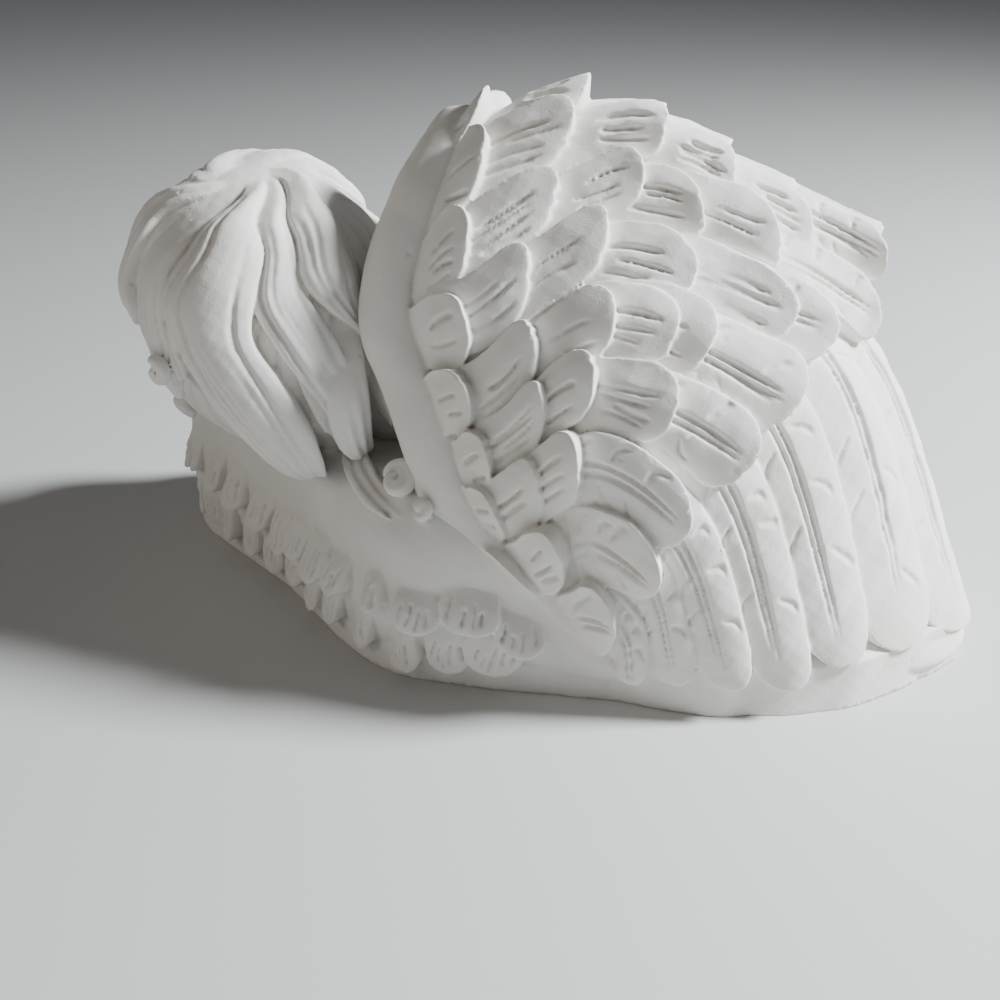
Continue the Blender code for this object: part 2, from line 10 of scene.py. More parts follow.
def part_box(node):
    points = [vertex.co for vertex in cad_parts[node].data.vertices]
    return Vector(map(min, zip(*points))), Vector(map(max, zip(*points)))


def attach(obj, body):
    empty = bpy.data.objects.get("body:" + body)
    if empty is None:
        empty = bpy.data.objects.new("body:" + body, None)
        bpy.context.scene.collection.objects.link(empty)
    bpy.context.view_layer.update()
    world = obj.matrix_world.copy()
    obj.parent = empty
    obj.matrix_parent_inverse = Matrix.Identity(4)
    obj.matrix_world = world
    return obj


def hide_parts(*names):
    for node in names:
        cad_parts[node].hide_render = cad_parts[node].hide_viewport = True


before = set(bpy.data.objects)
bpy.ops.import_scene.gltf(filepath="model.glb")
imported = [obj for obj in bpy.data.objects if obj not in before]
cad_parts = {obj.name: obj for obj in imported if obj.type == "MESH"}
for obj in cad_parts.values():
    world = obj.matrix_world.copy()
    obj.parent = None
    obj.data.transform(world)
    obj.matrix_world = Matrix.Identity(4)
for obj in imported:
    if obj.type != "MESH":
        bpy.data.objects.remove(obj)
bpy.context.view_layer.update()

# The casting is modelled in millimetres, and turned into metres when it is finished
casting = dict(
    node="sleeping_angel",
    slot="white_plaster",
    footCut=6.0,  # the clay reaches this far below the floor before it is cut off flat
    roughness=0.16,  # height of the hand-worked unevenness
    roughnessSize=6.0,
    fineRoughness=0.07,
    fineRoughnessSize=1.7,
    quickShare=0.35,
    quickSkin=1.7,
)


def bendBetween(knots, values, at, *columns):
    # values on smooth curves through the knots, where columns picks one of several curves for each place
    gaps = np.diff(knots).reshape([-1] + [1] * (values.ndim - 1))
    steps = np.diff(values, axis=0) / gaps
    tangents = np.concatenate([steps[:1], (steps[:-1] + steps[1:]) / 2, steps[-1:]])
    left = np.clip(np.searchsorted(knots, at, side="right") - 1, 0, len(knots) - 2)
    gap = (knots[left + 1] - knots[left])[:, None]
    u = (at - knots[left])[:, None] / gap
    here = (left, *columns)
    beyond = (left + 1, *columns)
    start = values[here] * (1 + 2 * u) * (1 - u) ** 2 + tangents[here] * gap * u * (1 - u) ** 2
    end = values[beyond] * u * u * (3 - 2 * u) + tangents[beyond] * gap * u * u * (u - 1)
    return start + end


def smoothCurve(knots, values, at):
    knots = np.asarray(knots, float)
    return bendBetween(knots, np.asarray(values, float), np.clip(at, knots[0], knots[-1]))


def unit(vectors):
    vectors = np.asarray(vectors, float)
    return vectors / np.maximum(np.linalg.norm(vectors, axis=-1, keepdims=True), 1e-9)


def ease(values, low, high):
    # 0 below low, 1 above high, and a soft step between
    share = np.clip((values - low) / (high - low), 0, 1)
    return share * share * (3 - 2 * share)


def between(pairs, at):
    # the value at a place, on straight lines between (place, value) pairs
    places, values = zip(*pairs)
    return np.interp(at, places, values)


def stepped(first, step, index):
    # a place, or a line of places, moved on by a number of steps
    return np.array(first, float) + np.array(step, float) * index


def unevenness(points, size, turn):
    # gentle hand-made waviness, from -1 to 1, over a given size
    p = points / size
    waves = np.sin(p[:, 0] * 2.1 + p[:, 1] * 1.3 + turn) * np.cos(p[:, 2] * 1.9 - p[:, 0] * 0.7 + turn * 2)
    return 0.6 * waves + 0.4 * np.sin(p[:, 1] * 3.1 - p[:, 2] * 2.3 + turn * 3)


def readPlaces(mesh):
    coords = np.empty(len(mesh.vertices) * 3)
    mesh.vertices.foreach_get("co", coords)
    return coords.reshape(-1, 3)


def addObject(name, data):
    made = bpy.data.objects.new(name, data)
    bpy.context.scene.collection.objects.link(made)
    return made


blocks = {}


def block(kind, across, tall):
    # an unshaped slab, -1 to 1 both ways and 0 to 1 up, or an unshaped ball of radius 1, or a globe,
    # which is a ball of even triangles that are halved as often as across says
    key = (kind, across, tall)
    if key in blocks:
        return blocks[key]
    bm = bmesh.new()
    if kind == "slab":
        bmesh.ops.create_grid(bm, x_segments=across, y_segments=tall, size=1.0)
        made = bmesh.ops.extrude_face_region(bm, geom=bm.faces[:], use_keep_orig=True)
        raised = [item for item in made["geom"] if isinstance(item, bmesh.types.BMVert)]
        bmesh.ops.translate(bm, verts=raised, vec=(0, 0, 1))
    elif kind == "globe":
        bmesh.ops.create_icosphere(bm, subdivisions=across, radius=1.0)
    else:
        bmesh.ops.create_uvsphere(bm, u_segments=across, v_segments=tall, radius=1.0)
    bmesh.ops.recalc_face_normals(bm, faces=bm.faces[:])
    mesh = bpy.data.meshes.new(kind)
    bm.to_mesh(mesh)
    bm.free()
    blocks[key] = (mesh, readPlaces(mesh))
    return blocks[key]


def press(clay, kind, across, tall, shape):
    # shapes a copy of a block, and adds it to the clay
    mesh, coords = block(kind, across, tall)
    shaped = np.ascontiguousarray(shape(coords.copy()))
    mesh.vertices.foreach_set("co", shaped.ravel())
    clay.from_mesh(mesh)


def pressBall(clay, centre, radii):
    press(clay, "ball", 32, 24, lambda p: p * np.array(radii) + np.array(centre))


def pressLimb(clay, start, startRadius, end, endRadius):
    # a tapered limb with round ends
    start = np.array(start, float)
    end = np.array(end, float)
    turn = np.array(Vector((0, 0, 1)).rotation_difference(Vector(end - start)).to_matrix())

    def shape(p):
        isEnd = p[:, 2:] > 0
        return (p * np.where(isEnd, endRadius, startRadius)) @ turn.T + np.where(isEnd, end, start)

    press(clay, "ball", 40, 28, shape)


def roundSection(p):
    # a ball's points as shares of the way up it, rings, and places on a circle round its axis
    share = np.arccos(np.clip(-p[:, 2], -1, 1)) / math.pi
    ring = np.sqrt(np.maximum(1 - p[:, 2] * p[:, 2], 1e-9))
    return share, ring, p[:, :2] / ring[:, None]


def surfaceNormal(surface, across, along):
    step = 0.004
    a = surface(across + step, along) - surface(across - step, along)
    b = surface(across, along + step) - surface(across, along - step)
    return unit(np.cross(a, b))


def cutStroke(x, y, start, end, wide, bend):
    # how deeply a pointed gouge from start to end cuts at each place, from 0 to 1
    start = np.array(start, float)
    run = np.array(end, float) - start
    length = np.linalg.norm(run)
    run = run / length
    share = ((x - start[0]) * run[0] + (y - start[1]) * run[1]) / length
    aside = (x - start[0]) * run[1] - (y - start[1]) * run[0] + bend * 4 * share * (1 - share)
    point = np.sqrt(np.clip(5 * share, 0, 1) * np.clip(5 * (1 - share), 0, 1))
    return point * np.clip(1 - np.abs(aside) / (wide * (0.3 + 0.7 * point)), 0, 1)


# How the gouges on a feather vary: where they start and end along it, their width and depth as shares,
# how far they stray and bend in mm, and how much they gather towards the root
gouge = dict(
    low=(0.08, 0.2),
    high=(0.45, 0.7),
    wide=(0.75, 1.3),
    deep=(0.6, 1.2),
    stray=0.9,
    gather=0.8,
    bend=0.7,
    barbSlope=1.5,
    barbBend=(0.6, 1.3),
)

# What all feathers share
plume = dict(
    slabShare=0.985,  # how much of the slab's width the feather takes up
    nickWidth=0.1,
    wander=0.035,
    wanderWaves=7,
    longestTip=0.6,  # the round tip takes up no more of the length than this
    roughness=0.2,
    roughnessSize=5.0,
    shallowest=0.2,  # a gouge may always cut this deep
)


def planStrokes(look, halfMm, longMm, draw):
    # gouges on a feather as (start, end, half width, depth, bend), with y measured back from its tip
    strokes = []
    count = draw.randint(*look["veins"])
    for index in range(count):
        place = 0.5 - (index + draw.uniform(0.3, 0.7)) / count
        x = halfMm * (look["veinShift"] - look["veinSpread"] * place)
        low = longMm * draw.uniform(*gouge["low"])
        high = longMm * draw.uniform(*gouge["high"])
        wide = look["veinWide"] * draw.uniform(*gouge["wide"])
        deep = look["veinDeep"] * draw.uniform(*gouge["deep"])
        start = (x + draw.uniform(-gouge["stray"], gouge["stray"]), low)
        end = (x * gouge["gather"], high)
        strokes.append((start, end, wide, deep, draw.uniform(-gouge["bend"], gouge["bend"])))
    if look["quillDeep"]:
        sway = draw.uniform(-0.15, 0.15) * halfMm
        bend = draw.uniform(-0.8, 0.8)
        for hand in (-1, 1):
            start = (sway + hand * look["quillGap"] * 0.5, longMm * draw.uniform(0.05, 0.1))
            end = (sway + hand * look["quillGap"], longMm * 0.98)
            strokes.append((start, end, look["quillWide"], look["quillDeep"], bend))
    for index in range(look["barbs"]):
        hand = (-1, 1)[index % 2]
        y = longMm * (0.05 + 0.85 * (index + draw.random()) / look["barbs"])
        x = hand * halfMm * draw.uniform(0.22, 0.35)
        reach = halfMm * draw.uniform(0.45, 0.62)
        start = (x, y + reach * gouge["barbSlope"])
        end = (x + hand * reach, y)
        bend = hand * draw.uniform(*gouge["barbBend"])
        strokes.append((start, end, look["barbWide"], look["barbDeep"], bend))
    return strokes


def pressFeather(clay, surface, look, middle, halfWidth, tip, length, lift, draw, skew=0.0, hand=1):
    # a feather that grows out of a surface, stands up at its round tip, and is highest towards one hand
    across = np.array([middle, middle, middle - halfWidth, middle + halfWidth])
    along = np.array([tip - length, tip, tip - length * 0.3, tip - length * 0.3])
    root, end, left, right = surface(across, along)
    longMm = np.linalg.norm(end - root)
    halfMm = np.linalg.norm(right - left) / 2
    tipRound = min(plume["longestTip"], look["tipRound"] * halfMm / longMm)
    nicks = [(draw.uniform(-0.75, 0.75), draw.uniform(0.005, 0.022)) for each in range(look["nicks"])]
    strokes = planStrokes(look, halfMm, longMm, draw)
    phase = draw.uniform(0, 6.28)
    tilt = draw.uniform(*look["tilt"])

    def shape(p):
        side = p[:, 0] * plume["slabShare"]
        down = (p[:, 1] + 1) / 2
        square = look["square"]
        reach = length * (1 - tipRound * (1 - (1 - np.abs(side) ** square) ** (1 / square)))
        for place, cut in nicks:
            reach = reach * (1 - cut * np.exp(-(((side - place) / plume["nickWidth"]) ** 2)))
        forward = tip - length + down * reach
        narrow = look["rootWidth"] + (1 - look["rootWidth"]) * np.sin(down * math.pi / 2)
        wander = plume["wander"] * np.sin(phase + down * plume["wanderWaves"])
        sideways = middle + halfWidth * (side * narrow + wander) + skew * (down - 0.5)
        place = surface(sideways, forward)
        normal = surfaceNormal(surface, sideways, forward)
        shoulder = 1 - look["edgeDrop"] * ease(side * hand, -0.5, 1.0) - look["edgeRound"] * np.abs(side) ** 6
        height = lift * down ** look["steepness"] * shoulder - look["rootSink"] * (1 - down) ** 2
        height = height + (look["crown"] * (1 - side * side) - tilt * side * hand) * np.minimum(2 * down, 1)
        x = side * halfMm * narrow
        y = (1 - down) * longMm * (reach / length)
        cut = np.zeros(len(p))
        for start, end, wide, deep, bend in strokes:
            cut = np.maximum(cut, deep * cutStroke(x, y, start, end, wide, bend))
        # a gouge cuts away no more than its share of the feather's height
        deepest = np.maximum(look["cutShare"] * height, plume["shallowest"])
        rough = plume["roughness"] * unevenness(place, plume["roughnessSize"], phase)
        height = height - np.minimum(cut, deepest) + rough
        return place + normal * np.where(p[:, 2] > 0.5, height, -look["depth"])[:, None]

    press(clay, "slab", look["gridAcross"], look["gridAlong"], shape)


# The wing folded over the body. A guide row is (share across, x, y, z), from the far border,
# over the top and down to the near lower corner, for each share of the way back from the front edge.
upperWing = dict(
    front={
        0.00: [(0.0, -28, 44, 112), (0.2, -28, 4, 154), (0.29, -38, -7, 146), (0.46, -52, -29, 107),
               (0.625, -40, -41, 80), (0.79, -25, -49, 53), (1.0, 14, -59, 22)],
        0.25: [(0.0, 0, 50, 108), (0.29, -15, -1, 158), (0.46, -21, -33, 123),
               (0.625, -12, -48, 89), (0.79, -5, -55, 56), (1.0, 21, -61, 20)],
        0.50: [(0.0, 30, 52, 104), (0.29, 22, 4, 159), (0.46, 21, -16, 140),
               (0.625, 21, -43, 109), (0.79, 21, -59, 75), (1.0, 27, -61, 18)],
    },
    coverts={
        0.75: [(0.0, 60, 48, 95), (0.29, 53, 8, 144), (0.46, 64, -18, 125), (0.54, 76, -26, 108),
               (0.625, 67, -42, 92), (0.79, 48, -60, 60), (1.0, 34, -60, 16)],
        1.00: [(0.0, 84, 40, 84), (0.29, 89, 4, 128), (0.46, 93, -8, 104), (0.54, 94, -18, 86),
               (0.625, 88, -42, 62), (0.79, 62, -56, 40), (1.0, 34, -60, 11)],
    },
    flight={
        0.75: [(0.42, 88, 4, 106), (0.49, 88, -8, 99), (0.57, 79, -27, 99),
               (0.65, 65, -43, 89), (0.805, 46, -60, 58), (1.0, 30, -60, 16)],
        1.00: [(0.42, 131, 6, 9), (0.495, 127, -8, 9), (0.57, 110, -30, 10), (0.65, 93, -44, 11),
               (0.805, 62, -56, 11), (0.96, 34, -59, 11), (1.0, 28, -60, 12)],
    },
    core=(30.0, 6.0, 30.0),
    sheetEnds=[(0.0, 0.93), (0.42, 0.93), (0.54, 0.72), (0.85, 0.68), (0.95, 0.5), (1.0, 0.45)],
    sheetSink=1.8,  # the sheet lies this far below the surface that the feathers follow
    sheetCore=0.7,  # and its underside this far towards the core
    sheetGrid=(130, 100),
    bandAlong=0.06,
    bandGrid=(48, 140),
    bandWidth=12.0,
    bandHeight=8.0,
    bandSink=3.5,
    chainPitch=1 / 12,
    ridgeChain=3.5,
    flightPitch=0.0775,
    firstFlight=0.495,
    flightCount=7,
    flightLength=0.5,
    flightLift=3.0,
    flightSheet=(0.45, 0.35),  # where the sheet under the flight feathers starts, across and along
    flightSheetEnds=[(0.0, 0.985), (1.0, 0.985)],
    featherOverlap=1.08,
    flightOverlap=1.1,
)

# A look is what one kind of feather has: its gouges, quill and barbs, its outline, its section and its grid
covertLook = dict(veins=(2, 4), veinWide=0.95, veinDeep=1.9, veinShift=0.12, veinSpread=1.1, cutShare=0.5,
                  quillGap=0, quillWide=0, quillDeep=0, barbs=0, barbWide=0.6, barbDeep=0.9, nicks=2,
                  tipRound=0.95, square=2.5, crown=0.9, edgeDrop=0.62, edgeRound=0.2, steepness=1.35,
                  rootSink=1.2, rootWidth=0.9, tilt=(0.0, 0.8), depth=7.0, gridAcross=60, gridAlong=60)
greatLook = dict(covertLook, veins=(0, 1), veinDeep=1.0, cutShare=0.7, quillGap=1.7, quillWide=1.0,
                 quillDeep=1.9, barbs=8, square=2.2, tipRound=1.1, gridAlong=110)
flightLook = dict(greatLook, veins=(0, 0), cutShare=0.8, quillGap=1.5, quillDeep=1.8, barbs=12,
                  barbDeep=0.95, nicks=0, crown=0.6, edgeDrop=0.4, edgeRound=0.3, steepness=1.1,
                  rootWidth=0.82, tilt=(-0.2, 0.5), gridAcross=56, gridAlong=200)

# Rows of coverts: chains run from -3 on the far side, over 0 on the ridge, to 8 near the plinth.
# tips gives how far back the tips lie at some chains, and ridge the lift on the skyline as a share.
covertRows = [
    dict(chains=(-3, 7), tips=[(-3, 0.26), (-2, 0.25), (-1, 0.2), (0, 0.2), (1, 0.25), (6, 0.26), (7, 0.21)],
         length=0.13, lift=5.2, ridge=1.5, look=covertLook),
    dict(chains=(-3, 7), tips=[(-3, 0.39), (4, 0.39), (7, 0.4)], length=0.21, lift=5.6, ridge=1.4,
         look=covertLook),
    dict(chains=(-3, 6), tips=[(-3, 0.54), (1, 0.54), (3, 0.51), (6, 0.5)], length=0.2, lift=5.4, ridge=0.25,
         look=covertLook),
    dict(chains=(-3, 5), tips=[(-3, 0.69), (1, 0.69), (3, 0.59), (5, 0.62)], length=0.2, lift=5.0, ridge=0.65,
         look=covertLook),
    dict(chains=(-3, 4), tips=[(-3, 0.84), (1, 0.83), (2, 0.74), (4, 0.66)], length=0.2, lift=4.8, ridge=0.15,
         look=covertLook),
    dict(chains=(3, 8), tips=[(3, 0.79), (6, 0.755), (7, 0.74), (8, 0.6)], length=0.34, lift=4.6, ridge=1.0,
         look=greatLook),
    dict(chains=(-3, 2), tips=[(-3, 1.0), (2, 1.0)], length=0.3, lift=3.6, ridge=0.5, look=greatLook),
]


def guidedPoint(guides, across, along):
    # points on a smooth sheet through the guide rows
    stations = np.array(sorted(guides))
    curves = []
    for station in stations:
        rows = np.array(guides[station], float)
        curves.append(smoothCurve(rows[:, 0], rows[:, 1:], across))
    return bendBetween(stations, np.array(curves), along, np.arange(len(along)))


def covertPoint(across, along):
    return guidedPoint(upperWing["front"] | upperWing["coverts"], across, along)


def flightPoint(across, along):
    return guidedPoint(upperWing["front"] | upperWing["flight"], across, along)


def pressSheet(clay, surface, firstAcross, firstAlong, ends):
    # the closed shell under a set of feathers, which runs back as far as ends says at each place across
    def shape(p):
        across = firstAcross + (1 - firstAcross) * (p[:, 0] + 1) / 2
        along = firstAlong + (between(ends, across) - firstAlong) * (p[:, 1] + 1) / 2
        place = surface(across, along)
        place = place - surfaceNormal(surface, across, along) * upperWing["sheetSink"]
        inner = place * (1 - upperWing["sheetCore"]) + np.array(upperWing["core"]) * upperWing["sheetCore"]
        return np.where(p[:, 2:] > 0.5, place, inner)

    press(clay, "slab", *upperWing["sheetGrid"], shape)


def makeCoverts(clay, draw):
    wing = upperWing
    pressSheet(clay, covertPoint, 0.0, 0.0, wing["sheetEnds"])

    def band(p):
        share, ring, circle = roundSection(p)
        along = np.full(len(p), wing["bandAlong"])
        centre = covertPoint(share, along)
        ahead = unit(covertPoint(share + 0.01, along) - covertPoint(share - 0.01, along))
        normal = surfaceNormal(covertPoint, share, along)
        wide = unit(np.cross(ahead, normal))
        swell = (np.clip(ring * 2.4, 0, 1) ** 0.5 * (1 - 0.3 * share))[:, None]
        reach = wide * circle[:, :1] * wing["bandWidth"] + normal * circle[:, 1:] * wing["bandHeight"]
        shaped = centre - normal * wing["bandSink"] + reach * swell
        return shaped + normal * (0.5 * unevenness(shaped, 9.0, 2.0))[:, None]

    press(clay, "ball", *wing["bandGrid"], band)

    halfWidth = wing["chainPitch"] * wing["featherOverlap"] / 2
    for row in covertRows:
        first, last = row["chains"]
        for chain in range(first, last + 1):
            middle = (chain + wing["ridgeChain"] + draw.uniform(-0.12, 0.12)) * wing["chainPitch"]
            tip = between(row["tips"], chain)
            onRidge = 1 + (row["ridge"] - 1) * max(0.0, 1 - abs(chain + 0.3) / 1.5)
            pressFeather(clay, covertPoint, row["look"], middle, halfWidth,
                         tip + draw.uniform(-0.02, 0.02), row["length"] * draw.uniform(0.92, 1.1),
                         row["lift"] * onRidge * draw.uniform(0.88, 1.12), draw,
                         skew=draw.uniform(-0.2, 0.1) * wing["chainPitch"], hand=1 if chain >= 0 else -1)


def makeFlights(clay, draw):
    wing = upperWing
    pressSheet(clay, flightPoint, *wing["flightSheet"], wing["flightSheetEnds"])
    for index in range(wing["flightCount"]):
        middle = wing["firstFlight"] + wing["flightPitch"] * index
        pressFeather(clay, flightPoint, flightLook, middle, wing["flightPitch"] * wing["flightOverlap"] / 2,
                     1.0 + draw.uniform(-0.015, 0.01), wing["flightLength"],
                     wing["flightLift"] * draw.uniform(0.8, 1.2), draw)


# The wing spread under the head: its outline from above, and its section from the middle to the
# lower edge as (distance in from the outline, height)
lowerWing = dict(
    outline=[(130, 4), (116, -26), (66, -50), (20, -57), (-30, -58), (-57, -44), (-86, -14), (-114, 8),
             (-136, 27), (-141, 44), (-124, 64), (-78, 72), (-20, 72), (50, 66), (110, 42)],
    section=[(30, 59), (12, 56), (3, 46), (0.5, 31), (0, 18), (3, 4)],
    tailStart=-15.0,  # the cushion sinks from here to tailEnd along X, and from farStart to farEnd along Y
    tailEnd=55.0,
    tailShare=0.25,
    farStart=15.0,
    farEnd=50.0,
    farShare=0.72,
    headStart=-100.0,  # and it stays up at the head end
    headEnd=-130.0,
    headRise=1.12,
    middle=(-20.0, 0.0, 58.0),
    fringeStart=(8, -58),
    fringeEnd=(12, 72),
    fringeWidth=15.0,
    bendStart=(112.0, 132.0),  # the feathers are lower round the sharp bend at the head end
    bendDrop=0.55,
    rows=((0.79, 0.23, 5.6), (0.96, 0.22, 4.8)),  # where the tips lie, length, and lift
    middleShare=0.35,
    grid=(240, 100),
    look=dict(covertLook, veins=(3, 5), veinWide=0.9, veinDeep=1.7, veinShift=0.0, veinSpread=1.5, nicks=3,
              crown=1.2, edgeDrop=0.15, edgeRound=0.45, steepness=0.8, rootSink=2.0, depth=6.0,
              tilt=(-1.2, 1.2), rootWidth=0.75, gridAcross=42, gridAlong=44),
)


def outlinePoint(turn):
    count = len(lowerWing["outline"])
    points = np.array(lowerWing["outline"] * 3, float)
    knots = np.arange(-count, 2 * count) / count
    return smoothCurve(knots, points, np.asarray(turn, float))


def cushionPoint(turn, along):
    # points on the lower wing: round its outline, and along its section from middle to edge
    wing = lowerWing
    stations = np.linspace(0, 1, len(wing["section"]))
    section = smoothCurve(stations, np.array(wing["section"], float), along)
    place = outlinePoint(turn)
    ahead = outlinePoint(turn + 0.002) - outlinePoint(turn - 0.002)
    inward = unit(np.stack([-ahead[:, 1], ahead[:, 0]], axis=1))
    inward = inward * np.sign(np.sum(inward * (np.array([0.0, 6.0]) - place), axis=1))[:, None]
    flat = place + inward * section[:, :1]
    fade = 1 - (1 - wing["tailShare"]) * ease(flat[:, 0], wing["tailStart"], wing["tailEnd"])
    atHead = ease(-flat[:, 0], -wing["headStart"], -wing["headEnd"])
    atFar = ease(flat[:, 1], wing["farStart"], wing["farEnd"])
    fade = fade * (1 - (1 - wing["farShare"]) * atFar * (1 - atHead))
    fade = fade * (1 + (wing["headRise"] - 1) * atHead)
    return np.column_stack([flat, section[:, 1] * fade])


def makeLowerWing(clay, draw):
    wing = lowerWing

    def dome(p):
        turn = np.arctan2(p[:, 1], p[:, 0]) / (2 * math.pi)
        ring = np.sqrt(np.maximum(p[:, 0] ** 2 + p[:, 1] ** 2, 1e-12))
        top = cushionPoint(turn, np.clip((ring - wing["middleShare"]) / (1 - wing["middleShare"]), 0, 1))
        share = np.clip(ring / wing["middleShare"], 0, 1)[:, None]
        upper = np.array(wing["middle"]) * (1 - share) + top * share
        upper[:, 2] += 0.6 * unevenness(upper, 12.0, 1.0)
        lower = np.column_stack([upper[:, :2], np.full(len(p), -casting["footCut"])])
        return np.where(p[:, 2:] >= -1e-6, upper, lower)

    press(clay, "ball", *wing["grid"], dome)

    turns = np.linspace(0, 1, 720, endpoint=False)
    line = outlinePoint(turns)
    gaps = np.linalg.norm(np.roll(line, -1, axis=0) - line, axis=1)
    reach = np.concatenate([[0], np.cumsum(gaps)])

    def nearest(place):
        return int(np.argmin(np.linalg.norm(line - np.array(place), axis=1)))

    first = reach[nearest(wing["fringeStart"])]
    total = reach[nearest(wing["fringeEnd"])] - first
    count = round(total / wing["fringeWidth"])
    for row, (tip, length, lift) in enumerate(wing["rows"]):
        for index in range(count):
            place = first + total * (index + 0.5 + 0.4 * row + draw.uniform(-0.12, 0.12)) / count
            turn = float(np.interp(place, reach, np.append(turns, 1.0)))
            width = wing["fringeWidth"] * draw.uniform(0.4, 0.56) / reach[-1]
            atBend = ease(-float(outlinePoint([turn])[0, 0]), *wing["bendStart"])
            pressFeather(clay, cushionPoint, wing["look"], turn, width, tip + draw.uniform(-0.05, 0.03),
                         length * draw.uniform(0.85, 1.1),
                         lift * draw.uniform(0.8, 1.2) * (1 - wing["bendDrop"] * atBend), draw,
                         skew=draw.uniform(-0.3, 0.3) * width * (1 - atBend))


plinth = dict(
    height=9.0,
    middle=(-6.0, 6.0),
    inset=0.985,
    ledgeHeight=15.0,  # the ledge under the long feathers
    ledgeSlope=40.0,
    ledgeProud=1.0,
    ledgeTuck=5.0,
    ledgeTuckFrom=0.8,
    lump=0.9,
    grid=(240, 24),
    ledgeGrid=(120, 60),
)


def makePlinth(clay, draw):
    def shape(p):
        turn = np.arctan2(p[:, 1], p[:, 0]) / (2 * math.pi)
        ring = np.sqrt(p[:, 0] ** 2 + p[:, 1] ** 2)
        middle = np.array(plinth["middle"])
        flat = middle + (outlinePoint(turn) - middle) * (ring**0.2)[:, None] * plinth["inset"]
        height = np.where(p[:, 2] > 0, plinth["height"], -casting["footCut"])
        made = np.column_stack([flat, height])
        made[:, :2] += unit(flat - middle) * (plinth["lump"] * unevenness(made, 13.0, 4.0))[:, None]
        return made

    press(clay, "ball", *plinth["grid"], shape)

    def ledge(p):
        first = upperWing["firstFlight"]
        across = first + (1 - first) * (p[:, 0] + 1) / 2
        rim = flightPoint(across, np.full(len(p), 1.0))[:, :2]
        middle = np.array(upperWing["core"][:2])
        out = (p[:, 1:2] + 1) / 2
        tuck = np.clip((across - plinth["ledgeTuckFrom"]) / (1 - plinth["ledgeTuckFrom"]), 0, 1)[:, None]
        proud = plinth["ledgeProud"] - tuck * plinth["ledgeTuck"]
        proud = proud + plinth["lump"] * unevenness(np.column_stack([rim, rim[:, 0]]), 11.0, 1.0)[:, None]
        flat = middle + (rim - middle) * out + unit(rim - middle) * proud * out
        height = plinth["ledgeHeight"] + plinth["ledgeSlope"] * (1 - out[:, 0])
        return np.column_stack([flat, np.where(p[:, 2] > 0.5, height, -casting["footCut"])])

    press(clay, "slab", *plinth["ledgeGrid"], ledge)


# A bump on the face is (how far across, how far up, width across, width up, height in mm), with
# places and widths in radians seen from the middle of the head, and a sleeping child's proportions
head = dict(
    centre=(-94.0, 4.0, 96.0),
    radius=38.0,
    crownAim=(-0.34, 0.16, 0.93),
    faceAim=(-0.12, 0.95, -0.2),
    middleBumps=[
        (0.0, 0.42, 0.45, 0.3, 1.2),
        (0.0, -0.16, 0.07, 0.16, 3.0),
        (0.0, -0.33, 0.09, 0.09, 4.6),
        (0.0, -0.545, 0.13, 0.05, 1.9),
        (0.0, -0.655, 0.1, 0.05, 2.0),
        (0.0, -0.6, 0.16, 0.022, -1.5),
        (0.0, -0.46, 0.03, 0.05, -0.6),
        (0.0, -0.88, 0.16, 0.13, 2.8),
    ],
    pairBumps=[
        (0.47, -0.42, 0.25, 0.24, 3.6),
        (0.4, -0.1, 0.21, 0.14, -2.8),
        (0.39, -0.1, 0.15, 0.1, 2.9),
        (0.4, 0.1, 0.2, 0.05, 0.8),
        (0.1, -0.37, 0.05, 0.05, 2.0),
    ],
    lashWidth=0.17,
    lashPlace=(0.39, -0.13),
    lashSag=0.055,
    lashDeep=1.2,
    lashThin=0.018,
    narrowing=0.06,
    fineness=8,
)

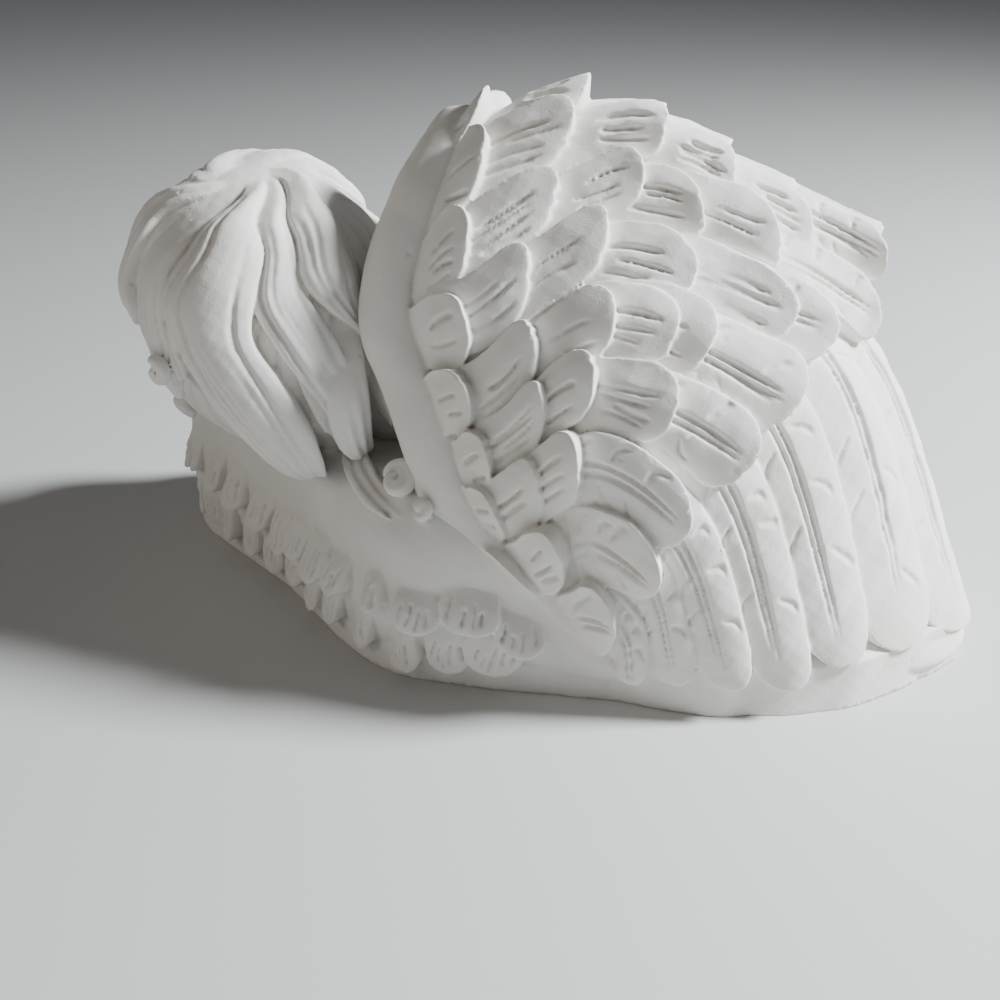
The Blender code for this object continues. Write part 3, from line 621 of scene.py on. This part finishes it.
# A lock is (rise, knots), and a knot is (angle from the whorl in radians, turn of the lock's one edge
# and turn of its other edge round the whorl, in degrees from the face)
hair = dict(
    depth=6.0,
    whorlAim=(-0.05, -0.14, 0.99),
    napePlace=(-52.0, -34.0, 66.0),
    napeWidth=0.66,
    napeSink=9.0,
    skirt=8.0,
    strandGap=3.4,
    strandWide=1.0,
    strandDeep=1.15,
    lockDepth=7.0,
    backTurns=(84.0, 262.0),
    faceTurn=60.0,
    fringeEnd=1.1,
    underCut=9.0,  # how far the head draws in under the ends of the locks
    swirl=0.9,  # the locks turn by this angle as they leave the whorl
    backLocks=[
        (8.8, [(0.12, 140, 196), (0.3, 158, 188), (0.5, 166, 191), (0.85, 160, 198), (1.15, 150, 192),
               (1.4, 156, 189), (1.65, 167, 196), (1.9, 179, 202), (2.2, 191, 205), (2.45, 199, 206),
               (2.65, 203, 205)]),
        (5.0, [(0.1, 170, 230), (0.35, 186, 212), (0.6, 194, 217), (0.9, 196, 214), (1.2, 190, 211),
               (1.5, 197, 215), (1.72, 204, 216), (1.9, 209, 213)]),
        (7.6, [(0.1, 210, 270), (0.4, 214, 246), (0.8, 216, 242), (1.1, 211, 236), (1.3, 215, 232),
               (1.5, 224, 229)]),
        (4.6, [(0.1, 240, 300), (0.4, 244, 276), (0.9, 240, 270), (1.3, 235, 262), (1.7, 234, 258),
               (2.0, 239, 256), (2.2, 246, 252)]),
        (2.4, [(0.1, 100, 160), (0.4, 118, 158), (0.7, 118, 158), (1.0, 108, 148), (1.3, 111, 145),
               (1.6, 122, 146), (1.85, 132, 147), (2.0, 142, 146)]),
        (6.4, [(0.1, 60, 120), (0.4, 80, 118), (0.8, 84, 119), (1.15, 84, 116), (1.4, 92, 120),
               (1.58, 104, 114)]),
        (0.8, [(1.3, 150, 163), (1.55, 154, 165), (1.75, 162, 170), (1.95, 170, 174)]),
        (0.4, [(1.4, 138, 150), (1.6, 142, 151), (1.8, 149, 154)]),
        (5.6, [(1.4, 214, 228), (1.65, 208, 221), (1.9, 207, 219), (2.1, 212, 221), (2.35, 222, 225)]),
        (1.0, [(1.5, 199, 210), (1.75, 202, 209), (1.95, 206, 209)]),
        (3.6, [(1.4, 229, 243), (1.7, 224, 237), (1.95, 226, 236), (2.15, 233, 237)]),
    ],
    # rings of locks on the other sides: (count, first angle, last angle, half width)
    rings=((11, 0.1, 1.5, 11.0), (12, 0.85, 2.2, 10.0)),
    # curls on the head: (angle, turn, radius, thickness, hand)
    curls=[(1.73, 143, 3.9, 2.2, 1), (1.94, 134, 3.4, 2.0, -1), (2.14, 160, 3.8, 2.2, 1),
           (2.35, 112, 3.8, 2.1, 1), (1.9, 84, 3.8, 2.1, 1), (1.95, 286, 4.0, 2.2, -1),
           (2.3, 244, 3.8, 2.1, -1)],
    # curls that lie on the cushion: (place, radius, thickness, hand), and their aim
    laidCurls=[((-37, -45, 59), 4.6, 2.9, 1), ((-28, -52, 54), 2.4, 2.0, -1)],
    laidAim=(-0.15, -0.8, 0.6),
    curlTurns=8.0,
    curlRise=3.0,
    curlTaper=2.5,
    lockGrid=(56, 120),
    strandGrid=(24, 90),
    capWaves=17,
    capWaveDeep=1.3,
    # the first of the loose strands that run from the nape over the cushion, and the step between them
    looseStrand=[(-59, -31, 59.5), (-53, -40, 55.5), (-46, -47, 52), (-37, -53, 49.5)],
    looseStep=(2.6, 1.3, 0.9),
    looseCount=3,
    looseThickness=1.4,
    looseTaper=3.0,
)


def headFrame():
    crown = unit(head["crownAim"])
    face = np.array(head["faceAim"])
    face = unit(face - crown * np.dot(face, crown))
    return crown, face, np.cross(crown, face)


def makeHead(clay, draw):
    centre = np.array(head["centre"])
    crown, face, side = headFrame()

    def skull(p):
        aim = unit(p)
        local = np.column_stack([aim @ side, aim @ crown, aim @ face])
        turn = np.arctan2(local[:, 0], local[:, 2])
        rise = np.arcsin(np.clip(local[:, 1], -1, 1))
        radius = np.full(len(p), head["radius"])

        def bump(x, y, wide, tall, height):
            return height * np.exp(-(((turn - x) / wide) ** 2) - ((rise - y) / tall) ** 2)

        for each in head["middleBumps"]:
            radius += bump(*each)
        for x, y, wide, tall, height in head["pairBumps"]:
            radius += bump(x, y, wide, tall, height) + bump(-x, y, wide, tall, height)
        for hand in (-1, 1):
            x = (turn - hand * head["lashPlace"][0]) / head["lashWidth"]
            lash = head["lashPlace"][1] - head["lashSag"] * (1 - np.minimum(x * x, 1.0))
            cut = np.exp(-(((rise - lash) / head["lashThin"]) ** 2)) * (1 - ease(np.abs(x), 0.8, 1.1))
            radius -= head["lashDeep"] * cut
        radius *= 1 - head["narrowing"] * ease(np.abs(local[:, 0]), 0.5, 1.0)
        return centre + aim * radius[:, None]

    press(clay, "globe", head["fineness"], 0, skull)


def sweep(clay, spot, thickness, taperEnd):
    # a round strand along a line
    def shape(p):
        share, ring, circle = roundSection(p)
        here, out = spot(share)
        run = unit(spot(share + 0.01)[0] - spot(share - 0.01)[0])
        wide = unit(np.cross(run, out))
        taper = np.clip(share * 5, 0, 1) ** 0.5 * np.clip((1 - share) * taperEnd, 0, 1) ** 0.7
        groove = 1 - 0.25 * np.exp(-((circle[:, :1] / 0.3) ** 2)) * (circle[:, 1:] > 0)
        reach = (wide * circle[:, :1] + out * circle[:, 1:] * groove) * (thickness * taper)[:, None]
        return here + reach

    press(clay, "ball", *hair["strandGrid"], shape)


def pressCurl(clay, place, aim, radius, thickness, hand):
    across = unit(np.cross(aim, unit(hair["whorlAim"])))
    up = np.cross(across, aim)

    def spot(share):
        angle = hand * share * hair["curlTurns"]
        size = radius * (1 - 0.85 * share)
        middle = place + aim * (hair["curlRise"] * share)[:, None]
        turned = across * np.cos(angle)[:, None] + up * np.sin(angle)[:, None]
        return middle + turned * size[:, None], np.tile(aim, (len(share), 1))

    sweep(clay, spot, thickness, hair["curlTaper"])


def makeLaidHair(clay, draw):
    # curls and strands that lie on the cushion
    for place, radius, thickness, hand in hair["laidCurls"]:
        pressCurl(clay, np.array(place, float), unit(hair["laidAim"]), radius, thickness, hand)
    for index in range(hair["looseCount"]):
        line = stepped(hair["looseStrand"], hair["looseStep"], index)

        def spot(share):
            here = smoothCurve(np.linspace(0, 1, len(line)), line, share)
            return here, np.tile(unit(hair["laidAim"]), (len(share), 1))

        sweep(clay, spot, hair["looseThickness"], hair["looseTaper"])


def makeHair(clay, draw):
    centre = np.array(head["centre"])
    crown, face, side = headFrame()
    whorl = unit(hair["whorlAim"])
    ahead = unit(np.array(head["faceAim"]) - whorl * np.dot(head["faceAim"], whorl))
    leftward = np.cross(whorl, ahead)
    nape = np.array(hair["napePlace"]) - centre
    napeSwell = np.linalg.norm(nape) - head["radius"] - hair["napeSink"]
    nape = unit(nape)

    def hairRadius(aim):
        swell = np.exp(-((1 - aim @ nape) * 2) / hair["napeWidth"] ** 2)
        skirt = np.clip(-(aim @ crown) - 0.1, 0, 1) * np.clip(0.4 - aim @ face, 0, 1)
        return head["radius"] + hair["depth"] * 0.5 + hair["skirt"] * skirt + napeSwell * swell

    def aimAt(polar, turn):
        flat = ahead * np.cos(turn)[:, None] + leftward * np.sin(turn)[:, None]
        return whorl * np.cos(polar)[:, None] + flat * np.sin(polar)[:, None]

    def cap(p):
        aim = unit(p)
        fade = np.clip((0.15 - aim @ face) * 4 + np.clip(aim @ crown - 0.62, 0, 1) * 6, -1, 1)
        polar = np.arccos(np.clip(aim @ whorl, -1, 1))
        turn = np.arctan2(aim @ leftward, aim @ ahead)
        wave = np.sin(turn * hair["capWaves"] + 2.4 * np.sin(polar * 4.2 + turn * 2))
        depth = ease(polar, 0.3, 1.2)
        radius = hairRadius(aim) * (0.9 + 0.1 * fade)
        radius = radius - hair["capWaveDeep"] * (1 - np.abs(wave)) ** 2 * depth
        radius = radius - hair["underCut"] * ease(polar, 1.45, 2.05) * ease(-(aim @ face), 0.1, 0.5)
        return centre + aim * radius[:, None]

    press(clay, "globe", head["fineness"], 0, cap)

    def pressLock(rise, knots):
        # a flat lock between its two edges, with strands along it, that rises from the head to a point
        places = np.linspace(0, 1, len(knots))
        line = np.array(knots, float)
        polar, one, other = line.T
        wide = np.max(np.radians(other - one) * np.sin(polar)) * head["radius"]
        count = max(2, round(wide / hair["strandGap"]))
        strands = []
        for index in range(count):
            place = -0.85 + 1.7 * (index + draw.uniform(0.2, 0.8)) / count
            strands.append((place, draw.uniform(0, 6.28), draw.uniform(0.12, 0.5), draw.uniform(0.5, 1.15)))
        phase = draw.uniform(0, 6.28)

        def shape(p):
            side = p[:, 0]
            share = (p[:, 1] + 1) / 2
            polar, one, other = smoothCurve(places, line, share).T
            swirl = hair["swirl"] * (1 - ease(polar, 0.0, 0.75))
            aim = aimAt(polar, np.radians((one + other) / 2 + (other - one) / 2 * side) + swirl)
            half = np.radians(other - one) / 2 * np.sin(polar) * head["radius"]
            cuts = np.zeros(len(p))
            for place, wave, first, deep in strands:
                away = np.abs(side - place - 0.12 * np.sin(wave + share * 6)) * half
                cut = np.clip(1 - away / hair["strandWide"], 0, 1) * ease(share, first, first + 0.2)
                cuts = np.maximum(cuts, cut * deep)
            cuts = cuts * hair["strandDeep"] * np.clip(half / 3, 0, 1)
            grown = ease(share, -0.05, 0.42)
            body = (0.62 + 0.38 * np.sqrt(np.clip(1 - side * side, 0, 1))) * grown
            body = body * (1 - 0.6 * ease(share, 0.65, 1.0))
            swell = 0.7 * np.sin(side * 3.2 + phase + share * 5) * grown
            up = rise * body + swell - cuts
            under = hair["lockDepth"] * (1 - 0.75 * ease(share, 0.7, 1.0))
            radius = hairRadius(aim) - 1 + np.where(p[:, 2] > 0.5, up, -under)
            return centre + aim * radius[:, None]

        press(clay, "slab", *hair["lockGrid"], shape)

    for count, start, finish, halfWidth in hair["rings"]:
        for index in range(count):
            turn = 360 * (index + draw.uniform(-0.25, 0.25)) / count
            toFace = abs(math.remainder(turn, 360))
            atBack = hair["backTurns"][0] < turn < hair["backTurns"][1]
            if atBack or (start > 0.5 and toFace < hair["faceTurn"]):
                continue
            end = finish * draw.uniform(0.93, 1.06)
            if toFace < hair["faceTurn"]:
                end = min(end, hair["fringeEnd"])
            wave = draw.uniform(6, 12)
            phase = draw.uniform(0, 6.28)
            drift = draw.uniform(-6, 14)
            knots = []
            for share in np.linspace(0, 1, 7):
                polar = start + (end - start) * share
                middle = turn + wave * math.sin(phase + share * 5) + drift * share
                half = math.degrees(halfWidth / head["radius"] / max(math.sin(polar), 0.4))
                half = half * (1 - 0.8 * share**3)
                knots.append((polar, middle - half, middle + half))
            pressLock(hair["depth"] * draw.uniform(0.7, 1.1), knots)
    for rise, knots in hair["backLocks"]:
        pressLock(rise, knots)
    for polar, turn, radius, thickness, hand in hair["curls"]:
        aim = aimAt(np.array([polar]), np.array([math.radians(turn)]))[0]
        pressCurl(clay, centre + aim * (hairRadius(aim[None])[0] + 1.5), aim, radius, thickness, hand)


# The curled body, seen from the far side: back, hips, folded leg, and both arms
body = dict(
    limbs=[
        ((-36, 14, 76), 30, (50, 16, 74), 38),
        ((-16, 10, 108), 31, (40, 8, 106), 33),
        ((-88, 2, 84), 22, (-36, 8, 70), 28),
        ((56, 30, 54), 26, (8, 52, 38), 18),
        ((9, 53, 36), 16, (78, 55, 24), 11),
        ((78, 56, 20), 10, (102, 48, 18), 8.5),
        ((-44, 22, 80), 20, (-14, 54, 50), 14),
        ((-14, 54, 49), 13.5, (-70, 50, 50), 9.5),
        ((-130, 30, 56), 12, (-102, 46, 50), 9.5),
    ],
    balls=[((54, 18, 62), (32, 32, 34)), ((-82, 47, 51), (13, 8, 8.5))],
    toes=5,
    firstToe=(110, 43, 21),
    toeStep=(-1.8, 3.4, -1.4),
    toeRadii=(4.4, 3, 3.2),
    fingers=4,
    firstKnuckle=(-88, 49, 56),
    knuckleStep=(0, 2, -4.2),
    knuckleRadius=3.8,
    firstFingertip=(-105, 46, 54),
    fingertipStep=(0, 2, -4),
    fingertipRadius=3.2,
)


def makeBody(clay, draw):
    for limb in body["limbs"]:
        pressLimb(clay, *limb)
    for centre, radii in body["balls"]:
        pressBall(clay, centre, radii)
    for toe in range(body["toes"]):
        pressBall(clay, stepped(body["firstToe"], body["toeStep"], toe), body["toeRadii"])
    for finger in range(body["fingers"]):
        knuckle = stepped(body["firstKnuckle"], body["knuckleStep"], finger)
        fingertip = stepped(body["firstFingertip"], body["fingertipStep"], finger)
        pressLimb(clay, knuckle, body["knuckleRadius"], fingertip, body["fingertipRadius"])


def keepLargest(bm):
    # deletes every loose part but the largest, which also fills hidden hollows
    left = set(bm.verts)
    islands = []
    while left:
        start = left.pop()
        island = [start]
        edge = [start]
        while edge:
            vert = edge.pop()
            for link in vert.link_edges:
                other = link.other_vert(vert)
                if other in left:
                    left.discard(other)
                    island.append(other)
                    edge.append(other)
        islands.append(island)
    islands.sort(key=len)
    spare = [vert for island in islands[:-1] for vert in island]
    bmesh.ops.delete(bm, geom=spare, context="VERTS")


wear = dict(pitRadius=(0.7, 1.4), pitDeep=(0.15, 0.35), chipRadius=(1.2, 2.4), chipDeep=(0.2, 0.45))


def wearSurface(mesh, pits, chips, draw):
    # hand-worked unevenness, small casting pits, and chips
    coords = readPlaces(mesh)
    normals = np.empty(coords.size)
    mesh.vertex_normals.foreach_get("vector", normals)
    normals = normals.reshape(-1, 3)
    broad = casting["roughness"] * unevenness(coords, casting["roughnessSize"], 0.7)
    fine = casting["fineRoughness"] * unevenness(coords, casting["fineRoughnessSize"], 2.9)
    coords += normals * (broad + fine)[:, None]
    for number, radii, depths in ((pits, wear["pitRadius"], wear["pitDeep"]),
                                  (chips, wear["chipRadius"], wear["chipDeep"])):
        for each in range(number):
            spot = int(draw.random() * len(coords))
            radius = draw.uniform(*radii)
            away = np.linalg.norm(coords - coords[spot], axis=1)
            near = away < radius
            fall = (1 - (away[near] / radius) ** 2) ** 2
            coords[near] -= normals[spot] * (draw.uniform(*depths) * fall)[:, None]
    mesh.vertices.foreach_set("co", coords.ravel())
    mesh.update()


def bakeModifiers(piece):
    graph = bpy.context.evaluated_depsgraph_get()
    graph.update()
    made = bpy.data.meshes.new_from_object(piece.evaluated_get(graph))
    piece.modifiers.clear()
    piece.data = made


def makePiece(name, makers, skinSize, triangles, sanding, pits, chips, seed):
    # fuses what the makers press into one closed skin, and finishes it
    draw = random.Random(seed)
    clay = bmesh.new()
    for maker in makers:
        maker(clay, draw)
    mesh = bpy.data.meshes.new(name)
    clay.to_mesh(mesh)
    clay.free()
    piece = addObject(name, mesh)

    skin = piece.modifiers.new("skin", "REMESH")
    skin.mode = "VOXEL"
    skin.voxel_size = skinSize * 1
    smooth = piece.modifiers.new("sanding", "SMOOTH")
    smooth.factor = 0.5
    smooth.iterations = sanding
    bakeModifiers(piece)
    wearSurface(piece.data, pits, chips, draw)
    goal = triangles * 1
    thin = piece.modifiers.new("thin", "DECIMATE")
    thin.ratio = min(1.0, goal / (2 * len(piece.data.polygons)))
    bakeModifiers(piece)

    bm = bmesh.new()
    bm.from_mesh(piece.data)
    if min(vert.co.z for vert in bm.verts) < 0:
        everything = bm.verts[:] + bm.edges[:] + bm.faces[:]
        cut = bmesh.ops.bisect_plane(bm, geom=everything, dist=1e-4, plane_co=(0, 0, 0), plane_no=(0, 0, 1),
                                     clear_inner=True)
        rim = [item for item in cut["geom_cut"] if isinstance(item, bmesh.types.BMEdge)]
        bmesh.ops.contextual_create(bm, geom=rim)
    bmesh.ops.triangulate(bm, faces=bm.faces[:])
    keepLargest(bm)
    bmesh.ops.recalc_face_normals(bm, faces=bm.faces[:])
    bm.to_mesh(piece.data)
    bm.free()
    print(name, "finished with", len(piece.data.polygons), "triangles")
    return piece


def corners(pieces):
    places = [readPlaces(piece.data) for piece in pieces]
    low = np.min([place.min(axis=0) for place in places], axis=0)
    high = np.max([place.max(axis=0) for place in places], axis=0)
    return low, high


# The pieces that the casting is modelled in. Each maker takes the clay and the piece's random draws.
pieceTable = [
    dict(name="pillowWing", makers=[makePlinth, makeLowerWing, makeLaidHair], skinSize=0.55,
         triangles=190000, sanding=1, pits=30, chips=8, seed=7),
    dict(name="curledBody", makers=[makeBody], skinSize=0.8,
         triangles=70000, sanding=12, pits=20, chips=2, seed=8),
    dict(name="sleepingHead", makers=[makeHead], skinSize=0.5,
         triangles=90000, sanding=2, pits=6, chips=0, seed=9),
    dict(name="curlyHair", makers=[makeHair], skinSize=0.5,
         triangles=190000, sanding=1, pits=20, chips=3, seed=10),
    dict(name="wingCoverts", makers=[makeCoverts], skinSize=0.44,
         triangles=198000, sanding=1, pits=50, chips=16, seed=7),
    dict(name="wingFlights", makers=[makeFlights], skinSize=0.46,
         triangles=170000, sanding=1, pits=30, chips=8, seed=11),
]


def makeCasting():
    pieces = [makePiece(**row) for row in pieceTable]
    low, high = corners(pieces)
    cadLow, cadHigh = (np.array(corner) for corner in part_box(casting["node"]))
    scale = (cadHigh[0] - cadLow[0]) / (high[0] - low[0])
    shift = (cadLow + cadHigh) / 2 - (low + high) / 2 * scale
    shift[2] = cadLow[2]
    paint = makePlaster()
    for piece in pieces:
        piece.data.transform(Matrix.Translation(shift) @ Matrix.Scale(scale, 4))
        for face in piece.data.polygons:
            face.use_smooth = True
        piece.data.materials.clear()
        piece.data.materials.append(paint)
        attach(piece, "root")
        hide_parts(casting["node"])
    print("casting finished, scale", scale, "shift", shift)
    return scale, shift


plaster = dict(
    colour=(0.86, 0.845, 0.81, 1),
    stain=(0.79, 0.765, 0.715, 1),
    # warm grey for the painted shade in the hollows
    paintedShadeColour=(0.56, 0.51, 0.44, 1),
    roughness=0.84,
    specular=0.3,
    blotchSize=22.0,
    blotchDetail=5.0,
    # pointiness range over which the painted shade in the hollows fades out
    blotchRange=(0.42, 0.72),
    shadedHollowRange=(0.4, 0.5),
    grainSize=1500.0,
    grainDetail=4.0,
    grainHeight=0.00012,
    grainStrength=0.6,
    pitSize=420.0,
    pitDetail=2.0,
    pitRange=(0.2, 0.32),
    pitHeight=0.00025,
    pitStrength=0.3,
)


def makePlaster():
    material = bpy.data.materials.new("whitePlaster")
    material.use_nodes = True
    nodes = material.node_tree.nodes
    links = material.node_tree.links
    shader = nodes["Principled BSDF"]
    shader.inputs["Roughness"].default_value = plaster["roughness"]
    shader.inputs["Specular IOR Level"].default_value = plaster["specular"]
    place = nodes.new("ShaderNodeTexCoord")

    def addNoise(name):
        noise = nodes.new("ShaderNodeTexNoise")
        noise.inputs["Scale"].default_value = plaster[name + "Size"]
        noise.inputs["Detail"].default_value = plaster[name + "Detail"]
        links.new(place.outputs["Object"], noise.inputs["Vector"])
        return noise.outputs["Fac"]

    def addRamp(name, value, first, last):
        ramp = nodes.new("ShaderNodeValToRGB")
        for index, shade in enumerate((first, last)):
            ramp.color_ramp.elements[index].position = plaster[name + "Range"][index]
            ramp.color_ramp.elements[index].color = (shade, shade, shade, 1)
        links.new(value, ramp.inputs["Fac"])
        return ramp.outputs["Color"]

    def addBump(name, value):
        bump = nodes.new("ShaderNodeBump")
        bump.inputs["Distance"].default_value = plaster[name + "Height"]
        bump.inputs["Strength"].default_value = plaster[name + "Strength"]
        links.new(value, bump.inputs["Height"])
        return bump

    tint = nodes.new("ShaderNodeMix")
    tint.data_type = "RGBA"
    tint.inputs["A"].default_value = plaster["colour"]
    tint.inputs["B"].default_value = plaster["stain"]
    links.new(addRamp("blotch", addNoise("blotch"), 0, 1), tint.inputs["Factor"])

    # painted shade: the hollows, found by the surface's pointiness, are darkened towards a warm grey
    shadedHollow = nodes.new("ShaderNodeNewGeometry")
    paintedShadeMix = nodes.new("ShaderNodeMix")
    paintedShadeMix.data_type = "RGBA"
    paintedShadeMix.inputs["B"].default_value = plaster["paintedShadeColour"]
    links.new(addRamp("shadedHollow", shadedHollow.outputs["Pointiness"], 1, 0), paintedShadeMix.inputs["Factor"])
    links.new(tint.outputs["Result"], paintedShadeMix.inputs["A"])
    links.new(paintedShadeMix.outputs["Result"], shader.inputs["Base Color"])

    grainBump = addBump("grain", addNoise("grain"))
    pitBump = addBump("pit", addRamp("pit", addNoise("pit"), 0, 1))
    links.new(grainBump.outputs["Normal"], pitBump.inputs["Normal"])
    links.new(pitBump.outputs["Normal"], shader.inputs["Normal"])
    return material


# The camera stands where the photograph was taken, in the casting's own millimetres
studio = dict(
    cameraPlace=(74.1, -396.3, 224.0),
    cameraTurn=13.0,
    cameraDown=25.0,
    lens=50.0,
    sensor=36.0,
    nearest=0.01,
    floorSize=16.0,
    floorDrop=0.0002,
    floorRoughness=0.7,
    floorColour=(0.6, 0.6, 0.59, 1),
    skyColour=(0.78, 0.8, 0.84, 1),
    skyPower=0.13,
    lightAim=(0, 0, 0.07),
    lights=[
        dict(name="window", place=(0.85, 0.12, 0.7), size=0.24, power=38.0, colour=(0.93, 0.97, 1.0)),
        dict(name="lamp", place=(-0.8, -0.6, 0.45), size=0.5, power=1.4, colour=(1.0, 0.88, 0.74)),
    ],
)


def makeLight(name, place, aim, size, power, colour):
    data = bpy.data.lights.new(name, "AREA")
    data.shape = "DISK"
    data.size = size
    data.energy = power
    data.color = colour
    light = addObject(name, data)
    light.location = place
    light.rotation_euler = (Vector(aim) - Vector(place)).to_track_quat("-Z", "Y").to_euler()


def makeStudio(scale, shift):
    turn = math.radians(studio["cameraTurn"])
    down = math.radians(studio["cameraDown"])
    eye = Vector(np.array(studio["cameraPlace"]) * scale + shift)
    look = Vector((-math.sin(turn) * math.cos(down), math.cos(turn) * math.cos(down), -math.sin(down)))
    data = bpy.data.cameras.new("camera")
    data.lens = studio["lens"]
    data.sensor_width = studio["sensor"]
    data.clip_start = studio["nearest"]
    camera = addObject("camera", data)
    camera.matrix_world = Matrix.Translation(eye) @ look.to_track_quat("-Z", "Y").to_matrix().to_4x4()
    bpy.context.scene.camera = camera

    bm = bmesh.new()
    bmesh.ops.create_grid(bm, x_segments=1, y_segments=1, size=studio["floorSize"] / 2)
    mesh = bpy.data.meshes.new("floor")
    bm.to_mesh(mesh)
    bm.free()
    floor = addObject("floor", mesh)
    floor.location.z = -studio["floorDrop"]
    paint = bpy.data.materials.new("floorPaint")
    paint.use_nodes = True
    shader = paint.node_tree.nodes["Principled BSDF"]
    shader.inputs["Base Color"].default_value = studio["floorColour"]
    shader.inputs["Roughness"].default_value = studio["floorRoughness"]
    mesh.materials.append(paint)

    world = bpy.data.worlds.new("sky")
    world.use_nodes = True
    world.node_tree.nodes["Background"].inputs["Color"].default_value = studio["skyColour"]
    world.node_tree.nodes["Background"].inputs["Strength"].default_value = studio["skyPower"]
    bpy.context.scene.world = world
    for light in studio["lights"]:
        makeLight(aim=studio["lightAim"], **light)


scale, shift = makeCasting()
makeStudio(scale, shift)
print("studio ready")
